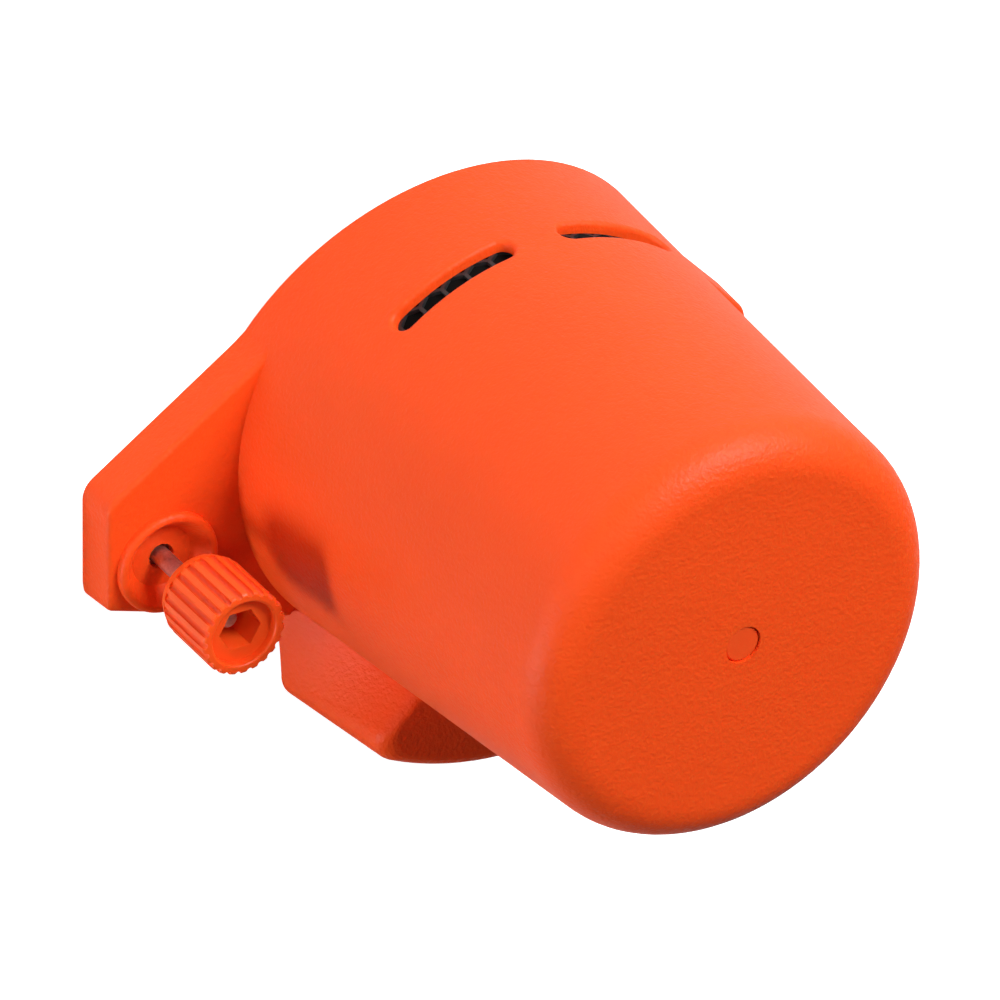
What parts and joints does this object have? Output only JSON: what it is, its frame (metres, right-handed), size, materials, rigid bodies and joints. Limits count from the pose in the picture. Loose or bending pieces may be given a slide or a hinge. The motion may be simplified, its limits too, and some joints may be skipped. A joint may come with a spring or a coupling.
{
  "type": "electronic training whistle",
  "caption": "Cup-shaped orange sounder for animal training, with a closed button end, meshed slots and ears held by captive thumbscrews.",
  "frame": {"origin": "where the cup axis meets the flat rear plane that the object stands on or mounts by", "axes": "+Z along the cup axis to the closed front end, +Y up with the sound slots at the top, +X across the ears"},
  "size_m": [0.1253, 0.0955, 0.0855],
  "materials": {
    "orange_shell": "matte, finely textured",
    "orange_cover": "matte",
    "orange_door": "matte",
    "orange_button": "matte",
    "orange_knob": "satin",
    "gasket_rubber": "matte",
    "foam": "matte",
    "screw_steel": "satin",
    "tray_plastic": "matte",
    "cell_jacket": "gloss",
    "contact_steel": "gloss",
    "lead_jacket": "satin",
    "mesh_black": "matte",
    "membrane_black": "matte",
    "baffle_plastic": "matte",
    "cone_paper": "matte",
    "disc_brass": "satin",
    "board_green": "satin",
    "switch_black": "satin",
    "chip_black": "matte",
    "shield_steel": "satin",
    "capacitor_sleeve": "satin",
    "coil_copper": "satin",
    "component_ceramic": "satin",
    "shank_steel": "satin",
    "retainer_steel": "satin"
  },
  "bodies": {
    "housing": {"front_housing": "orange_shell", "back_cover": "orange_cover", "battery_door": "orange_door", "cover_gasket": "gasket_rubber", "door_foam": "foam", "battery_tray": "tray_plastic", "battery_cells": "cell_jacket", "battery_contacts": "contact_steel", "chamber_divider": "tray_plastic", "vent_mesh": "mesh_black", "vent_membrane": "membrane_black", "speaker_baffle": "baffle_plastic", "baffle_screws": "screw_steel", "tweeter_gasket": "gasket_rubber", "tweeter_frame": "baffle_plastic", "tweeter_screws": "screw_steel", "piezo_cone": "cone_paper", "piezo_disc": "disc_brass", "main_board": "board_green", "board_screws": "screw_steel", "tact_switch": "switch_black", "controller_chip": "chip_black", "radio_module": "shield_steel", "reservoir_capacitor": "capacitor_sleeve", "step_up_coil": "coil_copper", "small_components": "component_ceramic", "battery_leads": "lead_jacket", "speaker_leads": "lead_jacket", "cover_screws": "screw_steel", "door_screws": "screw_steel"},
    "button": {"front_button": "orange_button", "switch_plunger": "switch_black"},
    "left_turning_ring": {"left_retainer": "retainer_steel"},
    "left_screw": {"left_knob": "orange_knob", "left_shank": "shank_steel"},
    "right_turning_ring": {"right_retainer": "retainer_steel"},
    "right_screw": {"right_knob": "orange_knob", "right_shank": "shank_steel"}
  },
  "joints": [
    {"name": "button_press", "type": "slide", "parent": "housing", "child": "button", "axis": [0, 0, -1], "range_m": [0, 0.0008], "stiffness_N_per_m": 1200},
    {"name": "left_screw_turn", "type": "hinge", "parent": "housing", "child": "left_turning_ring", "pos_m": [-0.054, -0.0116, 0.0038], "axis": [0, 0, 1], "continuous": true},
    {"name": "left_screw_draw", "type": "slide", "parent": "left_turning_ring", "child": "left_screw", "axis": [0, 0, 1], "range_m": [-0.0094, 0.0003]},
    {"name": "right_screw_turn", "type": "hinge", "parent": "housing", "child": "right_turning_ring", "pos_m": [0.0482, -0.0173, 0.0038], "axis": [0, 0, 1], "continuous": true},
    {"name": "right_screw_draw", "type": "slide", "parent": "right_turning_ring", "child": "right_screw", "axis": [0, 0, 1], "range_m": [-0.0094, 0.0003]}
  ]
}
